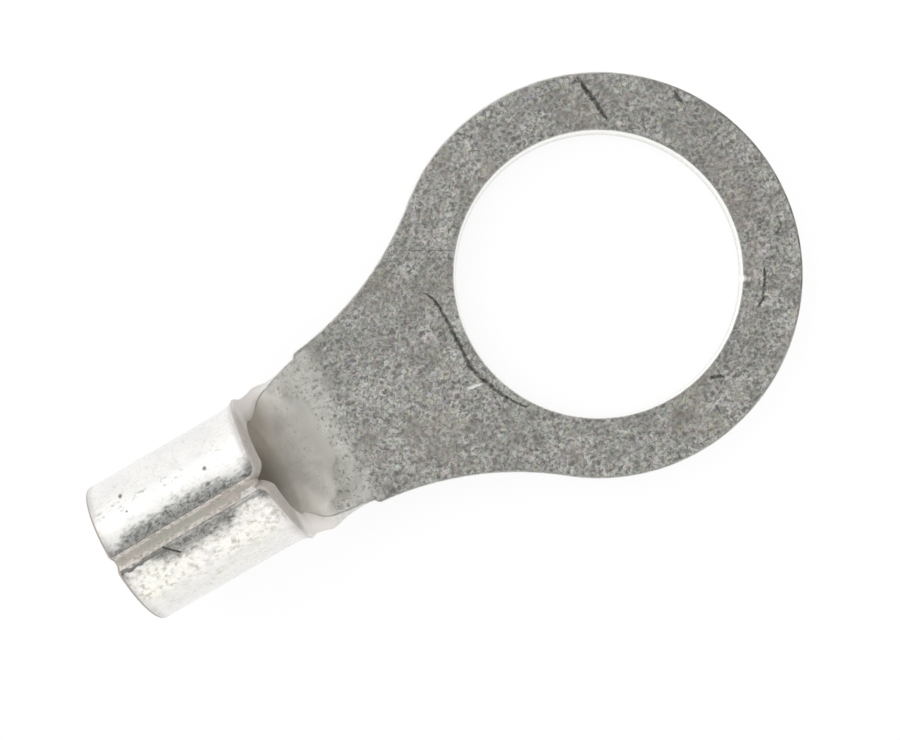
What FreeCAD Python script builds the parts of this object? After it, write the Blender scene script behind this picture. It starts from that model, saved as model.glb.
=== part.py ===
import FreeCAD, Part
import math
import os

from FreeCAD import Vector

os.makedirs("parts", exist_ok=True)

# A bare ring terminal: one plated copper sheet with a ring for a stud at one end, and the other
# end rolled into a wire barrel whose seam is brazed along the top. Millimetres. The stud's axis is
# Z, the underside of the tongue is z = 0, and the barrel lies along X on the -X side.

# What the terminal takes. The clearances are on the diameter.
stud_diameter = 8.0
stud_clearance = 0.4
wire_diameter = 2.4
wire_clearance = 0.4

# Tongue.
sheet = 0.8                 # thickness of the copper
ring_band = 1.8             # copper left round the stud's hole
neck_fillet = 9.6           # radius seen from above where the ring runs into the neck
neck_width = 5.1            # at the root of the tongue
neck_taper = 4.0            # degrees by which each side widens toward the ring
coined_spread = 0.15        # how much wider each side is where the tongue was pressed flat

# Ramp from the tongue down to the barrel's floor.
ramp_length = 2.2
ramp_drop = 0.7
curl_fade = 2.4             # power by which the sheet's curl dies away along the ramp

# Barrel.
stud_to_barrel = 11.15      # from the stud's axis to the barrel's front edge
barrel_length = 4.85
front_corner = 0.4          # radius where the front edge turns into the ramp's side
groove_width = 0.7          # over both rounded edges of the sheet
groove_depth = 0.34         # down to the braze
shoulder_radius = 0.1

# Soft edges that blanking leaves.
edge_round = 0.08

# Sizes that follow from those.
stud_hole_radius = (stud_diameter + stud_clearance) / 2
ring_radius = stud_hole_radius + ring_band
bore_radius = (wire_diameter + wire_clearance) / 2
barrel_radius = bore_radius + sheet
barrel_axis_z = barrel_radius - ramp_drop
front_x = -stud_to_barrel
back_x = front_x - barrel_length
root_x = front_x + ramp_length


def mirrored(point):
    """The same point on the other side of the terminal's middle plane."""
    return Vector(point.x, -point.y, point.z)


def tongue():
    """Ring, concave fillets and tapered neck as one flat plate with the stud's hole in it."""
    taper = math.radians(neck_taper)
    along = Vector(math.cos(taper), math.sin(taper), 0)
    outward = Vector(-math.sin(taper), math.cos(taper), 0)
    root = Vector(root_x, neck_width / 2, 0)
    # The fillet's centre lies neck_fillet off the neck's side and off the ring's edge.
    beside_root = root + outward * neck_fillet
    reach = beside_root.dot(along)
    span = reach**2 - beside_root.dot(beside_root) + (ring_radius + neck_fillet) ** 2
    centre = beside_root - along * (reach + math.sqrt(span))
    on_neck = centre - outward * neck_fillet
    on_ring = centre * (ring_radius / centre.Length)
    bulge = centre + ((on_neck + on_ring) / 2 - centre).normalize() * neck_fillet
    outline = [
        Part.LineSegment(root, on_neck).toShape(),
        Part.Arc(on_neck, bulge, on_ring).toShape(),
        Part.Arc(on_ring, Vector(ring_radius, 0, 0), mirrored(on_ring)).toShape(),
        Part.Arc(mirrored(on_ring), mirrored(bulge), mirrored(on_neck)).toShape(),
        Part.LineSegment(mirrored(on_neck), mirrored(root)).toShape(),
        Part.LineSegment(mirrored(root), root).toShape(),
    ]
    plate = Part.Face(Part.Wire(outline)).extrude(Vector(0, 0, sheet))
    plate = plate.cut(Part.makeCylinder(stud_hole_radius, sheet))
    # Every upper edge is soft, all but the one where the ramp begins.
    upper = [edge for edge in plate.Edges if edge.BoundBox.ZMin > sheet / 2]
    soft = [edge for edge in upper if edge.BoundBox.XMax > root_x + edge_round]
    return plate.makeFillet(edge_round, soft)


def cross_section(x, half_width, curl, floor):
    """Outline of the curled sheet at x. half_width runs along the sheet from its middle."""
    rows = []
    for height in (0, sheet):
        row = []
        for step in range(-6, 7):
            # A chord of the sheet's middle layer, which is a straight line where curl is zero.
            turn = curl * half_width * step / 6
            chord = 2 * math.sin(turn / 2) / curl if turn else half_width * step / 6
            across = chord * math.cos(turn / 2) - (height - sheet / 2) * math.sin(turn)
            up = chord * math.sin(turn / 2) + (height - sheet / 2) * math.cos(turn)
            row.append(Vector(x, across, floor + sheet / 2 + up))
        rows.append(row)
    under, over = rows
    under_curve = Part.BSplineCurve()
    under_curve.interpolate(under)
    over_curve = Part.BSplineCurve()
    over_curve.interpolate(over)
    outline = [
        under_curve.toShape(),
        Part.LineSegment(under[-1], over[-1]).toShape(),
        over_curve.toShape(),
        Part.LineSegment(over[0], under[0]).toShape(),
    ]
    return Part.Wire(outline)


def ramp():
    """The sheet between barrel and tongue: its curl opens out while its floor climbs."""
    barrel_curl = 1 / (bore_radius + sheet / 2)
    half_width = neck_width / 2 - coined_spread
    stations = []
    for angle in (0, 15, 30, 45, 60, 75, 90):
        ahead = front_corner * (1 - math.cos(math.radians(angle)))
        extra = front_corner * (1 - math.sin(math.radians(angle)))
        stations.append((ahead, extra))
    for step in range(1, 7):
        stations.append((front_corner + (ramp_length - front_corner) * step / 6, 0))
    outlines = []
    for ahead, extra in stations:
        way = ahead / ramp_length
        curl = barrel_curl * (1 - way) ** curl_fade
        floor = ramp_drop * (way**2 * (3 - 2 * way) - 1)
        outlines.append(cross_section(front_x + ahead, half_width + extra, curl, floor))
    return Part.makeLoft(outlines, True, False)


def barrel():
    """The rolled tube: its two edges meet at the top over a channel filled with braze."""
    lean = math.asin(groove_width / 2 / barrel_radius)
    shoulder_reach = barrel_radius - shoulder_radius
    shoulder = Vector(0, shoulder_reach * math.sin(lean), shoulder_reach * math.cos(lean))
    groove_edge = Vector(0, barrel_radius * math.sin(lean), barrel_radius * math.cos(lean))
    crest = shoulder + Vector(0, 0, shoulder_radius)
    # The braze is an arc through the groove's floor that touches both shoulders.
    floor = Vector(0, 0, barrel_radius - groove_depth)
    rise = floor.z - shoulder.z
    gap = shoulder.y**2 + rise**2 - shoulder_radius**2
    braze_radius = gap / (2 * (shoulder_radius - rise))
    braze = floor + Vector(0, 0, braze_radius)
    braze_edge = braze + (shoulder - braze).normalize() * braze_radius
    outline = [
        Part.Arc(groove_edge, Vector(0, 0, -barrel_radius), mirrored(groove_edge)).toShape(),
        Part.Arc(mirrored(groove_edge), mirrored(crest), mirrored(braze_edge)).toShape(),
        Part.Arc(mirrored(braze_edge), floor, braze_edge).toShape(),
        Part.Arc(braze_edge, crest, groove_edge).toShape(),
    ]
    tube = Part.Face(Part.Wire(outline)).extrude(Vector(barrel_length, 0, 0))
    tube = tube.cut(Part.makeCylinder(bore_radius, barrel_length, Vector(), Vector(1, 0, 0)))
    # The outer edges of the free end are soft, but not the edge of the bore.
    free_end = [edge for edge in tube.Edges if edge.BoundBox.XMax < edge_round]
    middle = Part.Vertex(0, 0, 0)
    soft = [edge for edge in free_end if edge.distToShape(middle)[0] > bore_radius + edge_round]
    tube = tube.makeFillet(edge_round, soft)
    tube.translate(Vector(back_x, 0, barrel_axis_z))
    return tube


# The ramp's ends are splines, so its joints with the other two close within this.
joint_tolerance = 0.0005

terminal = tongue().fuse([ramp(), barrel()], joint_tolerance).removeSplitter()
terminal.Solids[0].exportStep("parts/ring_terminal.step")
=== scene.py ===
import math

import bpy
import numpy as np
from mathutils import Matrix, Vector
from mathutils.geometry import delaunay_2d_cdt


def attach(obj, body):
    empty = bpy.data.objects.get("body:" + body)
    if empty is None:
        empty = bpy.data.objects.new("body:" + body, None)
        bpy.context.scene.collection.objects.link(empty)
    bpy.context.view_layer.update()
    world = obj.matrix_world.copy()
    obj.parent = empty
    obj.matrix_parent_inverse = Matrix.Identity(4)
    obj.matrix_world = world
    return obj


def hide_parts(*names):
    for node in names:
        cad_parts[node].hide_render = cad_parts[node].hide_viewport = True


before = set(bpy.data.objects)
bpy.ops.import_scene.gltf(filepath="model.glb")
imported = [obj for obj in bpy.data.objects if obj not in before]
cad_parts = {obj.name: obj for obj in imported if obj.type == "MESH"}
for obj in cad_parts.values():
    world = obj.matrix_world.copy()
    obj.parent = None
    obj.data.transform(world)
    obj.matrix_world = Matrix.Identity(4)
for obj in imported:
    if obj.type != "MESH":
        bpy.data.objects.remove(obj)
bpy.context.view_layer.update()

rng = np.random.default_rng(7)
MM = 0.001

# Sizes of the terminal in millimetres, close to the solid's. The stud's axis is Z, the underside of
# the tongue is z = 0, and the barrel lies along X on the -X side.
SHEET = 0.8
HOLE_R = 4.2
RING_R = 6.0
NECK_FILLET = 9.6
NECK_HALF = 2.55            # half the neck's width at the tongue's root
NECK_TAPER = math.radians(4)
RAMP_HALF = 2.37            # half the sheet's width along its curl, where the ramp leaves the barrel
BORE_R = 1.4
BARREL_R = BORE_R + SHEET
BARREL_CURL = 1 / (BORE_R + SHEET / 2)
CORNER_R = 0.4              # where the barrel's front edge turns into the ramp's side
DROP = 0.7                  # from the underside of the tongue to that of the barrel

# Places along X.
BACK_X = -16.0              # the barrel's free end
CLIMB_X = -11.2             # the ramp's floor climbs from here to the root
FRONT_X = -11.16            # the barrel's front edge
ROOT_X = -8.95              # the tongue's root
FLAT_X = -6.5               # from here on the tongue is meshed as two flat faces

# By x: the share of the barrel's curl that the sheet keeps, and half its width, with a slight waist.
CURL_KEPT = [(-11.8, 1), (-11.3, 0.985), (-11.02, 0.93), (-10.8, 0.73), (-10.5, 0.42),
             (-10.22, 0.23), (-9.85, 0.11), (-9.4, 0.03), (-8.96, 0)]
RAMP_WIDTH = [(FRONT_X, RAMP_HALF), (-10.7, RAMP_HALF), (-10.1, 2.3), (-9.5, 2.35), (ROOT_X, 2.42)]

# Soft edges of the stamping: how far in they start, and how far they drop over and under.
EDGE = 0.08
EDGE_OVER = 0.07
EDGE_UNDER = 0.03

# The seam: the sheet's two edges stand apart over a channel with braze in it.
SHOULDER_R = 0.1
GROOVE_HALF = 0.335
GROOVE_DEPTH = 0.33
FLANK = math.radians(60)
TOE_R = 0.06
BED_SAG = 0.02
BEAD = 0.08                 # height of the braze that shows in the bore
BEAD_HALF = 0.2

# How this one terminal departs from the drawing. The ring was blanked a little small and off the
# hole's centre, the barrel sits toward -Y, and the seam runs askew.
RING_SHRINK = 0.003
RING_OFF = (0.014, 0.022)
ASIDE_BACK = 0.075
ASIDE_FRONT = 0.11
SEAM_TURN_BACK = math.radians(5.6)
SEAM_TURN_FRONT = math.radians(3.8)

# The barrel's front edge: how far it stands ahead of FRONT_X, by degrees from the seam, and what
# is missing from it at the seam.
LEAD_OUTSIDE = [(0, 0.03), (17, 0.06), (38, 0.14), (60, 0.18), (90, 0.2)]
LEAD_INSIDE = [(0, 0.17), (45, 0.17), (90, 0.22)]
FRONT_REACH = 1.2           # how far behind the edge the columns begin to lean toward it
FRONT_FADE = 0.9            # and how far ahead of it the ramp's rows still do
SEAM_CORNER = 0.26          # radius that rounds the wings' corners beside the seam
SEAM_CORNER_START = 0.22    # and its distance from the seam's middle
BRAZE_RECESS = 0.19
NOTCH = 0.46
NOTCH_HALF = 0.36

# The mesh.
ACROSS = np.linspace(-1, 1, 61)     # places across the ramp and the barrel's bottom
WING = 40                           # columns in each of the barrel's wings
FILL_STEP = 0.32                    # between points on the flat faces
FILL_CLEAR = 0.13                   # from those points to an edge or a scratch
CORNER_TURN = 1.5                   # about how far round the barrel the ramp's corner lies
WALL, BRAZE = 1, 2                  # kinds of column in the channel, 0 everywhere else


def ease(t):
    """0 up to 0, 1 from 1 on and smooth between them."""
    t = np.clip(t, 0, 1)
    return t * t * (3 - 2 * t)


def between(x, low, high):
    """0 below low, 1 above high and smooth between them."""
    return ease((x - low) / (high - low))


def through(x, knots):
    """Smooth curve through (place, value) knots that never overshoots between two of them."""
    place, value = np.array(knots, float).T
    gap = np.diff(place)
    slope = np.diff(value) / gap
    lean = np.zeros_like(value)
    same = slope[:-1] * slope[1:] > 0
    total = np.where(same, slope[:-1] + slope[1:], 1)
    lean[1:-1] = np.where(same, 2 * slope[:-1] * slope[1:] / total, 0)
    i = np.clip(np.searchsorted(place, x) - 1, 0, len(gap) - 1)
    t = np.clip((x - place[i]) / gap[i], 0, 1)
    a = value[i] * (1 + 2 * t) * (1 - t) ** 2 + value[i + 1] * t * t * (3 - 2 * t)
    return a + gap[i] * t * (1 - t) * (lean[i] * (1 - t) - lean[i + 1] * t)


def circle(radius, turns):
    return radius * np.stack([np.cos(turns), np.sin(turns)], -1)


def fillet_centre():
    """Centre of the +Y fillet, which touches the ring and the neck's tapered side."""
    along = np.array([math.cos(NECK_TAPER), math.sin(NECK_TAPER)])
    out = np.array([-along[1], along[0]])
    start = np.array([ROOT_X, NECK_HALF]) + out * NECK_FILLET
    reach = start @ along
    return start - along * (reach + math.sqrt(reach**2 - start @ start + (RING_R + NECK_FILLET) ** 2))


FILLET = fillet_centre()


def neck_half(x):
    """Half the width of the tongue between its root and the ring."""
    straight = NECK_HALF + np.tan(NECK_TAPER) * (x - ROOT_X)
    rounded = FILLET[1] - np.sqrt(np.maximum(0, NECK_FILLET**2 - (x - FILLET[0]) ** 2))
    return np.where(x < FILLET[0] + math.sin(NECK_TAPER) * NECK_FILLET, straight, rounded)


def half_width(x):
    """Half the sheet's width along its curl: the ramp, then a small step out where it was coined."""
    ramp_half = through(x, RAMP_WIDTH)
    coined = between(x, ROOT_X - 0.06, ROOT_X + 0.08)
    return ramp_half + (neck_half(np.maximum(x, ROOT_X)) - ramp_half) * coined


def curl(x):
    """How tightly the sheet is curled across at x: round in the barrel, flat in the tongue."""
    return BARREL_CURL * through(x, CURL_KEPT) + 1e-6


def floor_z(x):
    """Underside of the sheet in the middle plane."""
    return DROP * (between(x, CLIMB_X, ROOT_X) - 1)


def aside(x):
    """Y of the sheet's middle, which comes back to the ring's middle plane along the ramp."""
    way = (x - BACK_X) / (FRONT_X - BACK_X)
    return -(ASIDE_BACK + (ASIDE_FRONT - ASIDE_BACK) * way) * (1 - between(x, -11.1, -9.0))


def near_front(x):
    """1 at the barrel's front edge and 0 well behind and ahead of it."""
    edge_x = FRONT_X - EDGE
    return between(x, FRONT_X - FRONT_REACH, edge_x) * (1 - between(x, edge_x, edge_x + FRONT_FADE))


class Skin:
    """Collects vertices with their marks, and quads and triangles over them."""

    def __init__(self):
        self.co = []
        self.marks = []
        self.faces = []
        self.count = 0

    def add(self, points, **marks):
        points = np.asarray(points, float).reshape(-1, 3)
        self.co.append(points)
        self.marks.append({name: np.broadcast_to(np.asarray(value, float).ravel(), len(points))
                           for name, value in marks.items()})
        self.count += len(points)
        return np.arange(self.count - len(points), self.count)

    def grid(self, rows, closed=False, flip=False, **marks):
        """Quads over rows of points. Marks have one value, or one for every point."""
        rows = np.asarray(rows, float)
        index = self.add(rows, **marks).reshape(rows.shape[:2])
        if closed:
            index = np.concatenate([index, index[:, :1]], 1)
        a, b, c, d = index[:-1, :-1], index[1:, :-1], index[1:, 1:], index[:-1, 1:]
        quads = np.stack([a, b, c, d], -1).reshape(-1, 4)
        self.faces += (quads[:, ::-1] if flip else quads).tolist()


skin = Skin()


def sheet_at(x, s, side):
    """Point on the bent sheet. side is 1 on the upper skin, -1 underneath."""
    k = curl(x)
    turn = k * s
    lift = side * SHEET / 2
    y = aside(x) + np.sin(turn) / k - lift * np.sin(turn)
    z = floor_z(x) + SHEET / 2 + (1 - np.cos(turn)) / k + lift * np.cos(turn)
    return np.stack([x, y, z], -1)


def ramp_rows():
    """X of each row across the ramp, and how far it reaches to either side along the curl."""
    # The rows lie close together round the front corner and at the coined step.
    corner = np.radians(np.linspace(0, 90, 9))
    corner_x = FRONT_X + CORNER_R - (CORNER_R + EDGE) * np.cos(corner)
    corner_reach = RAMP_HALF + CORNER_R - (CORNER_R + EDGE) * np.sin(corner)
    step_start = ROOT_X - 0.1
    step_end = ROOT_X + 0.12
    rest_x = np.concatenate([
        np.linspace(corner_x[-1], step_start, 26)[1:],
        np.linspace(step_start, step_end, 9)[1:],
        np.linspace(step_end, FLAT_X, 24)[1:],
    ])
    reach = np.concatenate([corner_reach, half_width(rest_x) - EDGE])
    return np.concatenate([corner_x, rest_x]), reach


def ramp():
    """The bent sheet from the barrel's front to the flat part, as an upper and a lower skin."""
    row_x, reach = ramp_rows()
    x = np.repeat(row_x[:, None], len(ACROSS), 1)
    s = reach[:, None] * ACROSS[None]
    over = sheet_at(x + LEAD_INSIDE[-1][1] * near_front(x), s, 1)
    beneath = sheet_at(x + LEAD_OUTSIDE[-1][1] * near_front(x), s, -1)
    # The last rows lie straight above each other, as the edges of the flat faces do.
    beneath[-1, :, :2] = over[-1, :, :2]
    # The dish is smooth. The coined grain begins further back toward its sides than in the middle.
    start = -9.35 - 0.65 * between(s, 1.2, 1.9)
    start -= 0.45 * between(-s, 0.5, 1.3) + 0.35 * between(-s, 1.4, 1.9)
    grain = between(x - start, -0.25, 0.25)
    full = between(x - 0.3 * between(s, 0, 1.5), -9.2, -8.45)
    skin.grid(over, grain=grain, full=full)
    skin.grid(beneath, flip=True, grain=grain, full=full, barrel=1 - grain)
    return over, beneath


upper, under = ramp()


def seam_outline():
    """The channel from its +Y edge to its -Y edge: turns from the seam's middle, drops and kinds."""
    lean = math.asin(GROOVE_HALF / BARREL_R)
    middle = (BARREL_R - SHOULDER_R) * np.array([math.sin(lean), math.cos(lean)])
    turn = np.linspace(lean, -FLANK, 11)[1:]
    shoulder = middle + SHOULDER_R * np.stack([np.sin(turn), np.cos(turn)], -1)
    floor_r = BARREL_R - GROOVE_DEPTH
    fall = shoulder[-1, 1] - floor_r - TOE_R * (1 - math.cos(FLANK))
    wall = shoulder[-1] - np.outer(np.linspace(0, fall, 6)[1:], (1 / math.tan(FLANK), 1))
    turn = np.linspace(FLANK, 0, 6)[1:]
    toe_y = wall[-1, 0] - TOE_R * math.sin(FLANK)
    toe = np.stack([toe_y + TOE_R * np.sin(turn), floor_r + TOE_R * (1 - np.cos(turn))], -1)
    bed_y = np.linspace(toe_y, 0, 5)[1:]
    bed = np.stack([bed_y, floor_r - BED_SAG * (1 - (bed_y / toe_y) ** 2)], -1)
    half = np.concatenate([shoulder, wall, toe, bed])
    half_kind = np.repeat([0, WALL, BRAZE], [len(shoulder), len(wall), len(toe) + len(bed)])
    whole = np.concatenate([half, half[-2::-1] * (-1, 1)])
    whole_kind = np.concatenate([half_kind, half_kind[-2::-1]])
    return np.arctan2(whole[:, 0], whole[:, 1]), BARREL_R - np.hypot(*whole.T), whole_kind


# The barrel's columns: bottom from -Y to +Y, wing, seam and the other wing. Each column's turn
# round the barrel is grow * the turn of the ramp's corner + fixed + skew * the seam's own turn.
# The last column of the seam is the first of the other wing.
seam_turn, seam_drop, seam_kind = (values[:-1] for values in seam_outline())
way = 1 - (1 - np.linspace(0, 1, WING + 1)[1:]) ** 1.5
edge_turn = math.pi - math.asin(GROOVE_HALF / BARREL_R)
other_edge = 2 * math.pi - edge_turn * way[::-1]
grow = np.concatenate([ACROSS, 1 - way, 0 * seam_turn, way[::-1] - 1])
fixed = np.concatenate([0 * ACROSS, edge_turn * way, math.pi - seam_turn, other_edge])
skew = np.concatenate([0 * ACROSS, ease(way), 0 * seam_turn + 1, ease(way[::-1])])
drop = np.concatenate([0 * ACROSS, 0 * way, seam_drop, 0 * way])
kind = np.concatenate([0 * ACROSS, 0 * way, seam_kind, 0 * way])
from_seam = np.abs(math.pi - (fixed + grow * CORNER_TURN))
left = (fixed + grow * CORNER_TURN < math.pi).astype(float)
# The bottom counts as a quarter turn from the seam, and as neither wing.
from_seam[:len(ACROSS)] = math.pi / 2
left[:len(ACROSS)] = 0.5
# Distance from the seam's middle along the skin.
beside = BARREL_R * from_seam


def tube(rows, outer):
    """The barrel's outer or inner skin, with the front edge's rounding and notch at the seam."""
    lead = through(np.degrees(from_seam), LEAD_OUTSIDE if outer else LEAD_INSIDE)
    if outer:
        inside_corner = np.maximum(0, SEAM_CORNER - np.maximum(0, beside - SEAM_CORNER_START))
        rounded = SEAM_CORNER - np.sqrt(SEAM_CORNER**2 - inside_corner**2)
        lead -= np.where(kind == BRAZE, BRAZE_RECESS, rounded)
        lift = SHEET / 2 - drop
    else:
        lead -= NOTCH * np.maximum(0, 1 - BORE_R * from_seam / NOTCH_HALF) ** 1.3
        lift = -SHEET / 2 - BEAD * np.exp(-((BORE_R * from_seam / BEAD_HALF) ** 2))
    x = rows[:, None] + near_front(rows)[:, None] * lead
    k = curl(x)
    seam_way = (x - BACK_X) / (FRONT_X - BACK_X)
    turn = grow * k * (RAMP_HALF + CORNER_R) + fixed
    turn = turn + skew * (SEAM_TURN_BACK + (SEAM_TURN_FRONT - SEAM_TURN_BACK) * seam_way)
    y = aside(x) + (1 / k + lift) * np.sin(turn)
    z = floor_z(x) + SHEET / 2 + 1 / k - (1 / k + lift) * np.cos(turn)
    return np.stack([x, y, z], -1)


def barrel():
    """The rolled barrel's two skins."""
    dense_x = FRONT_X - 0.8
    rows = np.concatenate([np.linspace(BACK_X + EDGE, dense_x, 64),
                           np.linspace(dense_x, FRONT_X - EDGE, 19)[1:]])
    outer, inner = tube(rows, True), tube(rows, False)
    brink = between(rows, FRONT_X - 0.34, FRONT_X - 0.08)
    brink += 0.8 * between(-rows, -BACK_X - 0.3, -BACK_X - 0.08)
    by_column = {"braze": kind == BRAZE, "flank": kind == WALL, "beside": beside, "left": left}
    skin.grid(outer, closed=True, flip=True, barrel=1.0, brink=np.repeat(brink, outer.shape[1]),
              **{name: np.tile(values, len(rows)) for name, values in by_column.items()})
    skin.grid(inner, closed=True)
    return outer, inner


outside, inside = barrel()


def tongue_outline():
    """Inset edge of the flat part, from the ramp's -Y side round the ring to its +Y side."""
    radius = NECK_FILLET + EDGE
    start = math.atan2(-FILLET[1], -FILLET[0])
    side = FILLET + circle(radius, np.linspace(start, -math.acos((FLAT_X - FILLET[0]) / radius), 46))
    side[-1] = upper[-1, -1, :2]
    swing = math.atan2(FILLET[1], FILLET[0])
    ring = circle(RING_R - EDGE, np.linspace(-swing, swing, 330)[1:-1])
    points = np.concatenate([side[::-1] * (1, -1), ring, side])
    on_ring = between(points[:, :1], -3.2, -0.2)
    return points * (1 - RING_SHRINK * on_ring) - on_ring * RING_OFF


outline = tongue_outline()
hole_edge = circle(HOLE_R + EDGE, np.linspace(0, -2 * math.pi, 300, endpoint=False))


def inside_loop(points, loop):
    """Even-odd test of points against a closed loop."""
    x, y = points.T
    odd = np.zeros(len(points), bool)
    for (x0, y0), (x1, y1) in zip(loop, np.roll(loop, -1, 0)):
        crosses = (y0 > y) != (y1 > y)
        if y0 != y1:
            odd ^= crosses & (x < x0 + (y - y0) * (x1 - x0) / (y1 - y0))
    return odd


def chain(first, count, closed=False):
    """Edges along count points in a row, the first of which has the number first."""
    edges = [(first + i, first + i + 1) for i in range(count - 1)]
    return edges + [(first + count - 1, first)] if closed else edges


def groove(path, width, depth, dark):
    """Five rows of points along a scratch, each with its drops and its painted shade, or below zero its
    painted highlight.
    """
    knots = np.array(path, float)
    places = np.arange(len(knots))
    fine = np.linspace(0, len(knots) - 1, 10 * (len(knots) - 1) + 1)
    line = np.stack([through(fine, np.column_stack([places, axis])) for axis in knots.T], -1)
    spacing = np.linalg.norm(np.diff(line, axis=0), axis=1).mean()
    line[1:-1] += rng.normal(0, min(0.006, 0.2 * spacing), (len(line) - 2, 2))
    run = np.gradient(line, axis=0)
    across = np.stack([-run[:, 1], run[:, 0]], -1) / np.linalg.norm(run, axis=1)[:, None]
    swell = np.sin(np.linspace(0.12, math.pi - 0.12, len(line))) ** 0.5
    swell *= rng.uniform(0.7, 1.15, len(line))
    half = across * (width / 2 * swell)[:, None]
    slope_dark = 0.8 * dark * abs(dark)
    rows = [(1.2, 0, 0), (0.75, -depth / 2, slope_dark), (0, -depth, dark),
            (-0.75, -depth / 2, slope_dark), (-1.2, 0, 0)]
    return [(line + half * share, low * swell, np.full(len(line), float(mark)))
            for share, low, mark in rows]


def fill_points(loop, cores):
    """Evenly spread points over the flat part, clear of its edges and of the scratches' cores."""
    row_step = 0.866 * FILL_STEP        # makes the triangles nearly equilateral
    gx, gy = np.meshgrid(np.arange(FLAT_X, RING_R, FILL_STEP), np.arange(-RING_R, RING_R, row_step))
    gx[1::2] += FILL_STEP / 2
    fill = np.column_stack([gx.ravel(), gy.ravel()])
    fill = fill[inside_loop(fill, loop) & (np.hypot(*fill.T) > HOLE_R + EDGE + 0.1)]
    near = np.concatenate([loop] + cores)
    gap = np.array([np.min(np.hypot(*(near - point).T)) for point in fill])
    return fill[gap > FILL_CLEAR]


def flat_face(z, end_row, scratches, flip):
    """One flat skin of the tongue, with each scratch cut into it as a shallow groove."""
    loop = np.concatenate([outline, end_row[-2:0:-1, :2]])
    edges = chain(0, len(loop), True) + chain(len(loop), len(hole_edge), True)
    points = [loop, hole_edge]
    drops = [np.zeros(len(loop) + len(hole_edge))]
    darks = [np.zeros(len(loop) + len(hole_edge))]
    cores = []
    for scratch in scratches:
        rows = groove(*scratch)
        for line, low, dark in rows:
            edges += chain(sum(map(len, points)), len(line))
            points.append(line)
            drops.append(low)
            darks.append(dark)
        cores.append(rows[2][0])
    points.append(fill_points(loop, cores))
    drops.append(np.zeros(len(points[-1])))
    darks.append(np.zeros(len(points[-1])))
    given, drops, darks = np.concatenate(points), np.concatenate(drops), np.concatenate(darks)
    found, _, triangles, origins = delaunay_2d_cdt([Vector(p) for p in given], edges, [], 0, 1e-7)[:4]
    # Points given keep their exact place, so that the faces close against the rim.
    source = np.array([numbers[0] if numbers else -1 for numbers in origins])
    flat = np.where(source[:, None] >= 0, given[source], [point[:] for point in found])
    low = np.where(source >= 0, drops[source], 0)
    dark = np.where(source >= 0, darks[source], 0)
    triangles = np.array(triangles)
    middle = flat[triangles].mean(1)
    keep = inside_loop(middle, loop) & (np.hypot(*middle.T) > HOLE_R + EDGE - 1e-4)
    index = skin.add(np.column_stack([flat, z + low]), grain=1.0, full=1.0, scar=dark)
    triangles = index[triangles[keep]]
    skin.faces += (triangles[:, ::-1] if flip else triangles).tolist()


# Scratches on the upper face: points, width, depth and how dark the painted shade in the bottom is,
# or below zero how bright the painted highlight is.
SCRATCHES = [
    ([(2.42, 5.3), (2.45, 4.94), (2.48, 4.65), (2.52, 4.31), (2.52, 4.04), (2.55, 3.78)], 0.19, 0.03, 1),
    ([(2.18, 5.2), (2.3, 5.2), (2.41, 5.1)], 0.15, 0.015, 0.9),
    ([(2.16, 4.57), (2.23, 4.28), (2.28, 3.98)], 0.07, 0.008, 0.5),
    ([(3.54, 3.4), (3.4, 3.12), (3.32, 2.85)], 0.1, 0.01, 0.7),
    ([(4.65, 3.45), (4.66, 3.24), (4.69, 3.05)], 0.15, 0.016, 0.95),
    ([(5.28, 1.42), (5.36, 1.22), (5.3, 1.02)], 0.06, 0.008, 0.5),
    ([(5.36, -1.2), (5.34, -1.45), (5.2, -1.58), (4.96, -1.64)], 0.11, 0.012, 0.8),
    ([(-1.44, 5.65), (-1.25, 5.5), (-1.08, 5.26)], 0.09, 0.01, 0.7),
    ([(-4.66, 3.55), (-3.94, 3.14), (-3.31, 2.75)], 0.06, 0.006, 0.6),
    ([(-4.64, 2.06), (-4.53, 1.79), (-4.5, 1.5), (-4.52, 0.86), (-4.54, 0.19), (-4.61, -0.32),
      (-4.53, -0.77), (-4.31, -1.38), (-4.1, -1.84), (-3.79, -2.3)], 0.155, 0.02, 0.97),
    ([(-4.99, -0.98), (-4.79, -1.0), (-4.59, -1.05)], 0.1, 0.012, -1),
    ([(4.26, -2.32), (4.16, -2.53), (3.9, -2.89), (3.76, -3.08), (3.54, -3.19)], 0.13, 0.016, 0.95),
    ([(1.28, -4.3), (1.46, -4.35), (1.68, -4.5)], 0.14, 0.016, 1),
    ([(1.3, -4.92), (1.1, -5.0), (0.75, -5.15)], 0.08, 0.008, -0.6),
    ([(1.0, -5.08), (1.02, -5.2), (1.0, -5.36)], 0.08, 0.01, 0.7),
    ([(1.22, -5.55), (1.25, -5.65), (1.27, -5.75)], 0.08, 0.01, 0.7),
]

flat_face(SHEET, upper[-1], SCRATCHES, False)
flat_face(0.0, under[-1], [], True)


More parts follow.
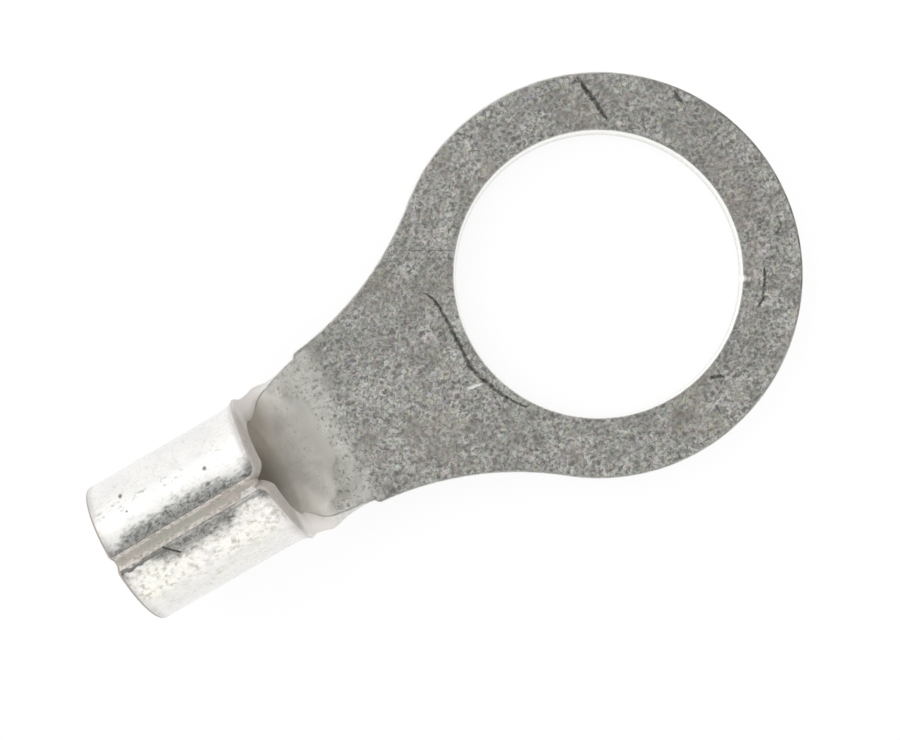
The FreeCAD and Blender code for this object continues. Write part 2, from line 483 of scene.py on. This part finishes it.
def rim(top, bottom, over, beneath, lip, **marks):
    """The cut edge between two matching inset loops, rounded at both of its corners.

    over and beneath say how far each corner drops, and the list after them how much painted shade darkens
    the first rows.
    """
    thick = top - bottom
    thick /= np.linalg.norm(thick, axis=1)[:, None]
    middle = (top + bottom) / 2
    run = np.roll(middle, -1, 0) - np.roll(middle, 1, 0)
    out = np.cross(run, thick)
    out /= np.linalg.norm(out, axis=1)[:, None]
    fall, rise = thick * over[:, None], thick * beneath[:, None]
    rows = []
    for angle in np.radians(np.linspace(0, 90, 5)):
        rows.append(top + out * EDGE * math.sin(angle) - fall * (1 - math.cos(angle)))
    last = bottom + out * EDGE + rise
    rows += [rows[-1] + (last - rows[-1]) * share for share in (0.25, 0.5, 0.75)]
    for angle in np.radians(np.linspace(90, 0, 5)):
        rows.append(bottom + out * EDGE * math.sin(angle) + rise * (1 - math.cos(angle)))
    cut = np.array([0, 0.6, 1, 1, 1, 1, 1, 1, 1, 1, 1, 0.6, 0])
    # The cheeks beside the dish take its tone on their inner half.
    inner = np.array([1, 1, 1, 0.9, 0.8, 0.4, 0.1, 0, 0, 0, 0, 0, 0])
    cut = (cut[:, None] * (1 - np.outer(inner, marks.get("cheek", 0 * over)))).ravel()
    lip = np.repeat(lip + [0] * (len(rows) - len(lip)), len(top))
    marks = {name: np.tile(values, len(rows)) for name, values in marks.items()}
    skin.grid(rows, closed=True, cut=cut, lip=lip, **marks)


def lifted(points, z):
    return np.column_stack([points, np.full(len(points), z)])


def sheet_rim():
    """One rim round the whole sheet: the tongue's outline, the ramp's sides and the barrel's front."""
    wings = slice(len(ACROSS), len(kind))
    top = np.concatenate([lifted(outline, SHEET), upper[-2::-1, -1], inside[-1, wings], upper[:-1, 0]])
    bottom = np.concatenate([lifted(outline, 0), under[-2::-1, -1], outside[-1, wings], under[:-1, 0]])

    def on_barrel(values):
        """The wings' values where the rim runs along the barrel's front, and 0 elsewhere."""
        whole = np.zeros(len(top))
        first = len(outline) + len(upper) - 1
        whole[first:first + len(kind) - len(ACROSS)] = values[wings]
        return whole

    # The barrel's front turns its outside up, so there the edge that drops more is the other one.
    turned = on_barrel(np.ones(len(kind)))
    over = EDGE_OVER + (EDGE_UNDER - EDGE_OVER) * turned
    beneath = EDGE_UNDER + (EDGE_OVER - EDGE_UNDER) * turned
    front = on_barrel(1 - between(np.degrees(from_seam), 48, 78))
    cheek = (1 - front) * (1 - between(top[:, 0], -10.7, -10.1))
    grain = between(top[:, 0], -9.5, -8.9)
    # The first rows of the cut edge carry painted shade.
    rim(top, bottom, over, beneath, [0, 1, 0.7], braze=on_barrel(kind == BRAZE), front=front,
        cheek=cheek, grain=grain, full=grain)


sheet_rim()
# The hole's rim carries painted shade on its first rows too.
even = np.ones(len(hole_edge))
rim(lifted(hole_edge, SHEET), lifted(hole_edge, 0), EDGE_OVER * even, EDGE_UNDER * even, [0.2, 0.8, 0.1],
    grain=even, full=even)
even = np.ones(len(kind))
rim(inside[0, ::-1], outside[0, ::-1], EDGE_UNDER * even, EDGE_OVER * even, [], front=even,
    braze=(kind == BRAZE)[::-1])


def smooth(mesh):
    """Gives each vertex the mean normal of its faces, the larger ones counting for more."""
    co = np.empty(len(mesh.vertices) * 3)
    mesh.vertices.foreach_get("co", co)
    co = co.reshape(-1, 3)
    mesh.calc_loop_triangles()
    triangles = np.empty(len(mesh.loop_triangles) * 3, int)
    mesh.loop_triangles.foreach_get("vertices", triangles)
    a, b, c = triangles.reshape(-1, 3).T
    face = np.cross(co[b] - co[a], co[c] - co[a])
    normal = np.zeros_like(co)
    for corner in (a, b, c):
        np.add.at(normal, corner, face)
    normal /= np.linalg.norm(normal, axis=1)[:, None]
    mesh.normals_split_custom_set_from_vertices(normal.tolist())


def build(name):
    """Joins the skin's patches into one closed mesh, in metres, with its marks as attributes."""
    co = np.concatenate(skin.co)
    first, place = np.unique(np.round(co, 5), axis=0, return_index=True, return_inverse=True)[1:]
    place = place.ravel()
    # A face that the joining has narrowed loses the doubled corner, and one without area goes.
    faces = [list(dict.fromkeys(place[i] for i in face)) for face in skin.faces]
    faces = [face for face in faces if len(face) > 2]
    used, renumbered = np.unique(np.concatenate(faces), return_inverse=True)
    cuts = np.cumsum([len(face) for face in faces])[:-1]
    faces = [face.tolist() for face in np.split(renumbered.ravel(), cuts)]
    mesh = bpy.data.meshes.new(name)
    mesh.from_pydata((co[first][used] * MM).tolist(), [], faces)
    for mark in sorted({key for marks in skin.marks for key in marks}):
        values = [marks.get(mark, np.zeros(len(c))) for marks, c in zip(skin.marks, skin.co)]
        values = np.concatenate(values)
        # Where two patches meet, the stronger mark of the two holds.
        order = np.argsort(np.abs(values), kind="stable")
        joined = np.zeros(len(first), np.float32)
        joined[place[order]] = values[order]
        mesh.attributes.new(mark, "FLOAT", "POINT").data.foreach_set("value", joined[used])
    smooth(mesh)
    obj = bpy.data.objects.new(name, mesh)
    bpy.context.scene.collection.objects.link(obj)
    return obj


terminal = build("terminal")
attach(terminal, "root")
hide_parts("ring_terminal")


class Shader:
    """Short-hand for building a node tree. A colour is written as three numbers."""

    def __init__(self, tree):
        self.tree = tree
        tree.nodes.clear()

    def put(self, kind, values=(), **settings):
        node = self.tree.nodes.new("ShaderNode" + kind)
        for key, value in settings.items():
            setattr(node, key, value)
        for key, value in dict(values).items():
            socket = node.inputs[key]
            if isinstance(value, bpy.types.NodeSocket):
                self.tree.links.new(value, socket)
            elif socket.type == "RGBA":
                socket.default_value = (*value, 1)
            else:
                socket.default_value = value
        return node

    def math(self, operation, a, b=0.0, c=0.0, clamp=False):
        return self.put("Math", {0: a, 1: b, 2: c}, operation=operation, use_clamp=clamp).outputs[0]

    def vector(self, operation, a, b, c=(0, 0, 0)):
        return self.put("VectorMath", {0: a, 1: b, 2: c}, operation=operation).outputs[0]

    def plus(self, a, b):
        return self.math("ADD", a, b)

    def linear(self, value, factor, offset):
        return self.math("MULTIPLY_ADD", value, factor, offset)

    def absolute(self, value):
        return self.math("ABSOLUTE", value)

    def times(self, *shares):
        total = shares[0]
        for share in shares[1:]:
            total = self.math("MULTIPLY", total, share)
        return total

    def most(self, *shares):
        total = shares[0]
        for share in shares[1:]:
            total = self.math("MAXIMUM", total, share)
        return total

    def ramp(self, value, low, high, to_low=0.0, to_high=1.0):
        node = self.put("MapRange", {"Value": value, "From Min": low, "From Max": high,
                                     "To Min": to_low, "To Max": to_high}, interpolation_type="SMOOTHSTEP")
        return node.outputs[0]

    def band(self, value, low, high, soft):
        """1 between low and high, fading over soft outside them."""
        return self.times(self.ramp(value, low - soft, low), self.ramp(value, high, high + soft, 1.0, 0.0))

    def blend(self, share, a, b):
        return self.put("Mix", {0: share, 6: a, 7: b}, data_type="RGBA").outputs[2]

    def mark(self, name):
        return self.put("Attribute", attribute_name=name).outputs["Fac"]

    def noise(self, vector, scale, detail=2.0, rough=0.5, twist=0.0, part="Fac"):
        node = self.put("TexNoise", {"Vector": vector, "Scale": scale, "Detail": detail,
                                     "Roughness": rough, "Distortion": twist})
        return node.outputs[part]


# Colours that several parts of the plate share.
# The dark of the dirt and painted shade beside the seam, and of the painted shade along the blanked edge.
SOOT_AND_SHADE = (0.09, 0.09, 0.08)
SCRATCH = (0.055, 0.055, 0.047)
GLINT = (0.97, 0.965, 0.95)


class TinPlate(Shader):
    """Worn tin plate: grainy grey where it was coined, smooth in the dish, bright on the barrel."""

    def __init__(self, tree):
        super().__init__(tree)
        # Places in millimetres in the terminal's own frame.
        place = self.put("TexCoord").outputs["Object"]
        self.place = self.put("VectorMath", {0: place, "Scale": 1 / MM}, operation="SCALE").outputs[0]
        self.along, self.sideways, self.height = self.put("SeparateXYZ", {0: self.place}).outputs
        self.beside = self.mark("beside")
        self.left = self.mark("left")
        self.right = self.math("SUBTRACT", 1.0, self.left)
        # Patterns from fine to broad.
        self.finer = self.noise(self.place, 17.0, 2.0, 0.6)
        self.fine = self.noise(self.place, 8.5, 4.0, 0.65, 0.6)
        self.mottle = self.noise(self.place, 6.5, 3.0, 0.6, 0.3)
        self.wander = self.noise(self.place, 4.5, 2.0, 0.55)
        self.coarse = self.noise(self.place, 2.6, 3.0, 0.6)
        self.cloud = self.noise(self.place, 1.1, 3.0, 0.6)
        self.broad = self.noise(self.place, 0.7, 2.0, 0.5)
        # Streaks along the barrel, and the marks of the shear down the cut edges.
        self.streak = self.noise(self.vector("MULTIPLY", self.place, (4.5, 9.0, 9.0)), 1.0, 3.0, 0.6)
        self.sheared = self.noise(self.vector("MULTIPLY", self.place, (15.0, 15.0, 3.0)), 1.0, 3.0, 0.6)
        worm = self.ramp(self.absolute(self.plus(self.wander, -0.5)), 0.0, 0.035, 1.0, 0.0)
        self.worm = self.times(worm, self.ramp(self.coarse, 0.48, 0.62))
        # The distance from the seam, made ragged.
        ragged = self.plus(self.beside, self.linear(self.wander, 0.4, -0.2))
        self.ragged = self.plus(ragged, self.linear(self.streak, 0.5, -0.25))
        self.deep = self.ramp(self.along, -11.4, -10.2, 1.0, 0.0)
        # Parts of the mesh.
        grain = self.plus(self.mark("grain"), self.linear(self.coarse, 1.0, -0.5))
        self.grain = self.ramp(grain, 0.25, 0.75)
        self.full = self.mark("full")
        self.barrel = self.mark("barrel")
        self.scar = self.mark("scar")
        self.braze = self.mark("braze")
        self.flank = self.mark("flank")
        self.cut = self.mark("cut")

    def around(self, x, y, reach, strength=1.0):
        """strength at the spot (x, y), fading to 0 at reach, with a ragged outline."""
        away_x = self.math("SUBTRACT", self.math("MULTIPLY_ADD", self.finer, 0.14, self.along), x + 0.07)
        away_y = self.math("SUBTRACT", self.sideways, y)
        away = self.plus(self.math("POWER", away_x, 2.0), self.math("POWER", away_y, 2.0))
        return self.ramp(self.math("SQRT", away), reach * 0.3, reach, strength, 0.0)

    def coined_face(self):
        """Grey grain with dark worm marks, light specks, clouds and faint tints."""
        face = self.blend(self.ramp(self.fine, 0.3, 0.7), (0.2, 0.2, 0.185), (0.85, 0.84, 0.795))
        face = self.blend(self.times(self.worm, 0.55), face, (0.15, 0.15, 0.135))
        face = self.blend(self.ramp(self.finer, 0.58, 0.75, 0.0, 0.5), face, (0.8, 0.8, 0.77))
        face = self.blend(self.ramp(self.broad, 0.52, 0.7, 0.0, 0.35), face, (0.48, 0.42, 0.36))
        face = self.blend(self.ramp(self.broad, 0.3, 0.46, 0.25, 0.0), face, (0.4, 0.42, 0.36))
        face = self.blend(self.ramp(self.cloud, 0.36, 0.6, 0.34, 0.0), face, (0.23, 0.22, 0.2))
        shaded = self.times(self.ramp(self.sideways, 0.5, 2.2),
                            self.ramp(self.along, -5.5, -3.5, 0.22, 0.1))
        face = self.blend(shaded, face, (0.2, 0.2, 0.18))
        tints = self.noise(self.place, 5.0, 3.0, 0.7, part="Color")
        tints = self.vector("MULTIPLY_ADD", tints, (0.36, 0.36, 0.4), (0.82, 0.82, 0.8))
        face = self.vector("MULTIPLY", face, tints)
        return self.blend(self.ramp(self.coarse, 0.32, 0.62, 0.34, 0.0), face, (0.22, 0.21, 0.19))

    def dish(self):
        """Smooth, with a few dark specks, darker up its sides, and painted shade, browner toward the bore.
        """
        along, sideways, coarse, fine = self.along, self.sideways, self.coarse, self.fine
        # Painted shade and reflection of the dark bore, browner toward it.
        brown = self.blend(self.ramp(sideways, -0.6, 0.4), (0.6, 0.56, 0.5), (0.6, 0.54, 0.46))
        dish = self.blend(self.deep, (0.95, 0.935, 0.885), brown)
        off_axis = self.ramp(self.absolute(self.plus(sideways, 0.1)), 0.3, 1.4)
        walls = self.times(off_axis, self.ramp(sideways, -1.2, 1.2, 0.5, 1.0),
                           self.ramp(along, -10.9, -10.0, 1.0, 0.1),
                           self.ramp(along, -11.35, -10.95, 0.35, 1.0))
        dish = self.blend(walls, dish, (0.36, 0.325, 0.28))
        dish = self.blend(self.ramp(coarse, 0.35, 0.65, 0.12, 0.0), dish, (0.4, 0.36, 0.31))
        dish = self.blend(self.ramp(fine, 0.66, 0.74, 0.0, 0.6), dish, (0.3, 0.29, 0.26))
        # Painted shade on the bore's floor, and less of it on the walls beside it.
        steep = self.times(off_axis, self.ramp(along, -12.4, -11.8))
        inside = self.times(self.ramp(along, -11.6, -10.8, 1.0, 0.0), self.linear(steep, -0.95, 1.0))
        dish = self.blend(inside, dish, (0.28, 0.25, 0.215))
        mottled = self.ramp(self.plus(coarse, self.finer), 0.75, 1.25, 0.09, 0.0)
        dish = self.blend(mottled, dish, (0.2, 0.18, 0.15))
        specks = self.times(self.ramp(fine, 0.52, 0.68), self.ramp(along, -10.8, -10.0), 0.28)
        dish = self.blend(specks, dish, (0.36, 0.36, 0.32))
        # Next to the coined face it was pressed, brightest in the middle.
        off_middle = self.ramp(self.absolute(sideways), 0.4, 1.2)
        pressed = self.blend(off_middle, (0.74, 0.73, 0.68), (0.61, 0.6, 0.56))
        return self.blend(self.ramp(along, -10.0, -9.5), dish, pressed)

    def tongue(self):
        """The coined face, the dish, the sparse grain between them and smudges on it."""
        dish = self.dish()
        sparse = self.blend(self.ramp(self.coarse, 0.34, 0.6, 0.36, 0.0), dish, (0.34, 0.34, 0.29))
        sparse = self.blend(self.ramp(self.fine, 0.31, 0.5), (0.26, 0.26, 0.23), sparse)
        tongue = self.blend(self.grain, dish, self.blend(self.full, sparse, self.coined_face()))
        smudge = self.most(self.around(-10.1, -1.98, 0.36), self.around(-9.75, -1.75, 0.3, 0.6),
                           self.around(-10.0, 2.0, 0.3, 0.6), self.around(-9.78, 1.45, 0.3, 0.4))
        smudge = self.times(smudge, self.ramp(self.fine, 0.3, 0.6, 0.7, 0.3))
        return self.blend(smudge, tongue, (0.2, 0.2, 0.17))

    def bright_tube(self):
        """The barrel's clean skin: faint specks and streaks, and cream patches on the -Y wing."""
        tube = self.blend(self.ramp(self.fine, 0.5, 0.72), (0.88, 0.87, 0.85), (0.7, 0.7, 0.67))
        warm = self.times(self.ramp(self.coarse, 0.38, 0.62), self.ramp(self.sideways, 0.1, -0.9),
                          self.ramp(self.height, 2.0, 3.0), 0.75)
        tube = self.blend(warm, tube, (0.74, 0.715, 0.63))
        tube = self.blend(self.ramp(self.cloud, 0.42, 0.6, 0.0, 0.4), tube, (0.76, 0.76, 0.75))
        cream = self.blend(self.ramp(self.cloud, 0.42, 0.58), (1.0, 0.985, 0.9), (1.0, 0.96, 0.935))
        patches = self.times(self.ramp(self.mottle, 0.4, 0.62, 1.0, 0.15), self.right,
                             self.ramp(self.beside, 1.2, 2.0, 0.95, 0.5))
        tube = self.blend(patches, tube, cream)
        streaks = self.times(self.ramp(self.streak, 0.57, 0.7),
                             self.ramp(self.coarse, 0.42, 0.6, 0.05, 0.5))
        tube = self.blend(streaks, tube, (0.5, 0.5, 0.47))
        blotch = self.times(self.ramp(self.mottle, 0.5, 0.66), self.band(self.beside, 0.4, 1.4, 0.4),
                            self.right, self.ramp(self.coarse, 0.4, 0.6, 0.25, 0.75))
        tube = self.blend(blotch, tube, (0.5, 0.47, 0.4))
        fleck = self.times(self.ramp(self.streak, 0.53, 0.66), self.band(self.beside, 1.3, 1.5, 0.15),
                           self.left, self.band(self.along, -15.7, -13.2, 0.4), 0.7)
        return self.blend(fleck, tube, (0.42, 0.42, 0.38))

    def soot_and_shade(self):
        """Dirt and painted shade along both sides of the seam, round the barrel's front corner and at its
        free end.
        """
        along, ragged = self.along, self.ragged
        width = self.linear(self.band(along, -15.1, -12.5, 0.6), 0.26, 0.41)
        past = self.math("SUBTRACT", ragged, width)
        above = self.most(self.ramp(past, -0.2, 0.24, 1.0, 0.0), self.ramp(past, -0.1, 0.7, 0.24, 0.0))
        width = self.linear(self.band(along, -14.5, -12.6, 0.7), 0.52, 0.1)
        below = self.ramp(self.math("SUBTRACT", ragged, width), -0.2, 0.36, 0.95, 0.0)
        soot_and_shade = self.plus(self.times(above, self.left), self.times(below, self.right))
        corner = self.times(self.ramp(along, -11.6, -11.35), self.ramp(self.beside, 0.4, 0.65, 1.0, 0.0))
        front = self.times(self.ramp(along, -11.62, -11.4), self.left,
                           self.ramp(ragged, 0.4, 1.1, 0.7, 0.0))
        back = self.times(self.ramp(along, -15.97, -15.8, 1.0, 0.0),
                          self.ramp(ragged, 0.25, 0.6, 1.0, 0.0))
        patchy = self.ramp(self.plus(self.streak, self.finer), 0.65, 1.2, 1.0, 0.62)
        soot_and_shade = self.times(self.most(soot_and_shade, corner, front, back), patchy)
        # A thin line runs along the seam's edge on the -Y wing.
        thin = self.plus(self.beside, self.linear(self.wander, 0.3, -0.15))
        line = self.times(self.band(thin, 0.24, 0.34, 0.05), self.ramp(along, -14.5, -14.0, 0.85, 0.6),
                          self.right)
        return self.times(self.most(soot_and_shade, line), self.ramp(self.beside, 0.17, 0.22))

    def barrel_marks(self):
        """A nick that slants away from the seam, and three spots."""
        slant = self.plus(self.beside, self.linear(self.along, -1.2, -17.66))
        slant = self.plus(slant, self.linear(self.wander, 0.12, -0.06))
        nick = self.times(self.ramp(self.absolute(slant), 0.03, 0.07, 1.0, 0.0),
                          self.band(self.beside, 0.24, 0.64, 0.04),
                          self.ramp(self.left, 0.4, 0.6, 1.0, 0.0))
        spots = [self.around(x, y, reach, 0.85)
                 for x, y, reach in ((-12.42, 0.8, 0.09), (-14.95, 1.35, 0.09), (-14.93, 0.87, 0.05))]
        return self.most(nick, *spots)

    def tube(self, soot_and_shade):
        """The barrel's outside with its dirt and painted shade, its marks and the darker brinks of both
        ends.
        """
        tube = self.blend(soot_and_shade, self.bright_tube(), SOOT_AND_SHADE)
        tube = self.blend(self.barrel_marks(), tube, (0.07, 0.07, 0.065))
        brink = self.times(self.mark("brink"), self.ramp(self.coarse, 0.3, 0.6, 0.35, 0.6))
        return self.blend(brink, tube, self.blend(self.ramp(self.ragged, 0.3, 1.0), (0.12, 0.11, 0.1),
                                                  (0.4, 0.37, 0.35)))

    def seam(self, colour):
        """Lays over colour the dull braze, the channel's flanks in their pinkish tone with a painted
        highlight, and one painted glint.
        """
        bead = self.blend(self.ramp(self.coarse, 0.4, 0.62), (0.54, 0.525, 0.475), (0.64, 0.58, 0.535))
        green = self.times(self.band(self.along, -14.9, -13.4, 0.5), 0.8)
        bead = self.blend(green, bead, (0.56, 0.56, 0.49))
        bead = self.blend(self.ramp(self.fine, 0.4, 0.7, 0.0, 0.3), bead, (0.36, 0.34, 0.31))
        colour = self.blend(self.braze, colour, bead)
        # The flanks: their pinkish tone, brightened by a painted highlight.
        bright = self.blend(self.ramp(self.mottle, 0.38, 0.6), (0.56, 0.53, 0.49), (0.91, 0.87, 0.83))
        colour = self.blend(self.flank, colour, bright)
        glint = self.times(self.band(self.along, -11.85, -11.5, 0.1),
                           self.band(self.beside, 0.1, 0.2, 0.04),
                           self.ramp(self.left, 0.4, 0.6, 1.0, 0.0), self.ramp(self.fine, 0.4, 0.5))
        return self.blend(glint, colour, GLINT)

    def cut_edge(self):
        """Sheared walls, the barrel's browner front, the dish's cheeks and the ring's bright edges."""
        edge = self.blend(self.ramp(self.sheared, 0.3, 0.7), (0.64, 0.63, 0.6), (0.84, 0.83, 0.8))
        front = self.blend(self.ramp(self.fine, 0.3, 0.7), (0.43, 0.39, 0.36), (0.53, 0.49, 0.46))
        edge = self.blend(self.mark("front"), edge, front)
        cheek = self.blend(self.ramp(self.sideways, -0.5, 0.5), (0.86, 0.82, 0.79), (0.7, 0.665, 0.64))
        edge = self.blend(self.mark("cheek"), edge, cheek)
        # The hole's wall and the rounding on the ring's +Y side catch the light.
        flat = self.put("CombineXYZ", {0: self.along, 1: self.sideways}).outputs[0]
        from_stud = self.put("VectorMath", {0: flat}, operation="LENGTH").outputs["Value"]
        hole = self.times(self.ramp(from_stud, HOLE_R + 0.1, HOLE_R + 0.2, 1.0, 0.0),
                          self.ramp(self.height, 0.1, 0.7, 0.35, 1.0))
        rounding = self.times(self.ramp(self.sideways, 2.5, 4.5), self.ramp(self.height, 0.66, 0.74), 0.8)
        return self.blend(self.most(hole, rounding), edge, GLINT)

    def wear_shade_and_glints(self, colour):
        """Lays over colour the painted shade along the blanked edge, the scratches with their painted
        shade and highlights, and two nicks painted as glints.
        """
        # The painted shade along the blanked edge is strongest round the ring's far side.
        far = self.put("VectorMath", {0: self.place, 1: (0.97, 0.24, 0.0)}, operation="DOT_PRODUCT")
        strength = self.plus(self.ramp(far.outputs["Value"], 2.0, 4.5, 0.35, 0.7),
                             self.ramp(self.coarse, 0.4, 0.6, 0.0, 0.3))
        edge_shade = self.times(self.mark("lip"), self.ramp(self.along, -11.1, -10.8), strength,
                          self.ramp(self.sideways, 3.0, 5.0, 1.0, 0.7))
        colour = self.blend(edge_shade, colour, SOOT_AND_SHADE)
        # The scratches: real grooves, with painted shade in their bottoms.
        worn_and_shaded = self.times(self.scar, self.ramp(self.plus(self.finer, self.fine), 0.8, 1.2, 1.0, 0.75))
        colour = self.blend(worn_and_shaded, colour, SCRATCH)
        # Two nicks painted as glints.
        nick = self.most(self.around(3.6, -2.27, 0.13), self.around(3.72, -2.36, 0.1, 0.6))
        colour = self.blend(nick, colour, GLINT)
        # Bright scratches: bared metal with a painted highlight.
        bared_and_highlight = self.math("MULTIPLY", self.scar, -1.0, clamp=True)
        return self.blend(bared_and_highlight, colour, (0.95, 0.95, 0.93))

    def roughness(self, soot_and_shade):
        dull = self.most(self.braze, self.flank, self.cut, self.times(soot_and_shade, self.barrel))
        rough = self.math("SUBTRACT", self.linear(self.grain, -0.1, 0.55), self.times(self.barrel, 0.25))
        rough = self.plus(rough, self.times(dull, 0.2))
        return self.plus(rough, self.linear(self.fine, 0.2, -0.1))

    def relief(self):
        height = self.times(self.fine, self.linear(self.grain, 0.85, 0.15))
        height = self.plus(height, self.times(self.worm, self.grain, -0.4))
        height = self.plus(height, self.times(self.cut, self.sheared))
        return self.put("Bump", {"Height": height, "Strength": 0.6, "Distance": 0.02 * MM}).outputs[0]

    def metallic(self):
        """Full on the coined face and the barrel, and less on the braze and deep in the dish."""
        clean = self.most(self.times(self.grain, self.full), self.barrel)
        dull = self.most(self.braze, self.math("SUBTRACT", 1.0, clean))
        return self.times(self.linear(dull, -0.65, 1.0), self.linear(self.deep, -0.6, 1.0))


def plated_copper():
    material = bpy.data.materials.new("tin_plate")
    material.use_nodes = True
    plate = TinPlate(material.node_tree)
    soot_and_shade = plate.soot_and_shade()
    colour = plate.blend(plate.barrel, plate.tongue(), plate.tube(soot_and_shade))
    colour = plate.seam(colour)
    colour = plate.blend(plate.cut, colour, plate.cut_edge())
    surface = plate.put("BsdfPrincipled", {
        "Base Color": plate.wear_shade_and_glints(colour), "Metallic": plate.metallic(),
        "Roughness": plate.roughness(soot_and_shade), "Normal": plate.relief()})
    plate.put("OutputMaterial", {"Surface": surface.outputs[0]})
    return material


terminal.data.materials.append(plated_copper())


def pale_floor():
    """Nearly white where it is seen or mirrored, and a plain pale grey to all other light."""
    material = bpy.data.materials.new("pale_floor")
    material.use_nodes = True
    sh = Shader(material.node_tree)
    path = sh.put("LightPath").outputs
    seen = sh.most(path["Is Camera Ray"], path["Is Glossy Ray"], path["Is Transmission Ray"])
    lit = sh.put("BsdfDiffuse", {"Color": (0.8, 0.8, 0.8)})
    pale = sh.put("BsdfDiffuse", {"Color": (0.16, 0.16, 0.16)})
    glow = sh.put("Emission", {"Color": (1, 1, 1), "Strength": 0.86})
    both = sh.put("AddShader", {0: pale.outputs[0], 1: glow.outputs[0]})
    above = sh.put("MixShader", {0: seen, 1: lit.outputs[0], 2: both.outputs[0]})
    # Seen from below, the floor is clear and shows the terminal's underside.
    clear = sh.put("BsdfTransparent")
    below = sh.put("NewGeometry").outputs["Backfacing"]
    either = sh.put("MixShader", {0: below, 1: above.outputs[0], 2: clear.outputs[0]})
    sh.put("OutputMaterial", {"Surface": either.outputs[0]})
    return material


def floor():
    """The floor that the terminal lies on: it touches the barrel's front and the ring's far edge."""
    half_size = 2.0
    gap = Vector((0, 0, 0.02)) * MM
    touch = Vector((FRONT_X, 0, -DROP)) * MM
    along = (Vector((RING_R, 0, 0)) * MM - touch).normalized() * half_size
    side = Vector((0, half_size, 0))
    corners = [touch + along * a + side * b - gap for a, b in ((-1, -1), (1, -1), (1, 1), (-1, 1))]
    mesh = bpy.data.meshes.new("floor")
    mesh.from_pydata(corners, [], [(0, 1, 2, 3)])
    mesh.materials.append(pale_floor())
    obj = bpy.data.objects.new("floor", mesh)
    bpy.context.scene.collection.objects.link(obj)
    return obj


floor()


def surroundings():
    """Soft white all round, darker straight overhead."""
    world = bpy.data.worlds.new("studio")
    world.use_nodes = True
    sh = Shader(world.node_tree)
    way = sh.put("TexCoord").outputs["Generated"]
    dome = sh.ramp(sh.put("SeparateXYZ", {0: way}).outputs["Z"], 0.62, 0.97, 1.15, 0.42)
    light = sh.put("Background", {"Color": (1, 1, 1), "Strength": dome})
    white = sh.put("Background", {"Color": (1, 1, 1), "Strength": 1.0})
    seen = sh.put("LightPath").outputs["Is Camera Ray"]
    mixed = sh.put("MixShader", {0: seen, 1: light.outputs[0], 2: white.outputs[0]})
    sh.put("OutputWorld", {"Surface": mixed.outputs[0]})
    return world


def soft_lamp():
    """One large lamp above the barrel's +Y side."""
    place = Vector((-0.16, 0.22, 0.26))
    lamp = bpy.data.lights.new("soft_lamp", "AREA")
    lamp.shape = "DISK"
    lamp.size = 0.4
    lamp.energy = 0.3
    obj = bpy.data.objects.new("soft_lamp", lamp)
    obj.location = place
    obj.rotation_euler = (-place).to_track_quat("-Z", "Y").to_euler()
    obj.visible_camera = False
    bpy.context.scene.collection.objects.link(obj)


bpy.context.scene.world = surroundings()
soft_lamp()

# The photograph's camera, from its fit to the ring, the hole and the barrel.
PHOTO_WIDTH = 900                           # pixels
FOCAL_LENGTH = 1766.9                       # pixels
CAMERA_PLACE = (-3.456, -1.987, 52.738)
CAMERA_TURN = (1.939, 1.885, -30.496)       # degrees about X, Y and Z


def camera():
    data = bpy.data.cameras.new("camera")
    data.sensor_width = 36
    data.lens = data.sensor_width * FOCAL_LENGTH / PHOTO_WIDTH
    data.clip_start = 0.002
    data.clip_end = 10
    obj = bpy.data.objects.new("camera", data)
    turn_x, turn_y, turn_z = (Matrix.Rotation(math.radians(angle), 4, axis)
                              for angle, axis in zip(CAMERA_TURN, "XYZ"))
    obj.matrix_world = Matrix.Translation(Vector(CAMERA_PLACE) * MM) @ turn_x @ turn_y @ turn_z
    bpy.context.scene.collection.objects.link(obj)
    bpy.context.scene.camera = obj


camera()
bpy.context.scene.view_settings.view_transform = "Standard"
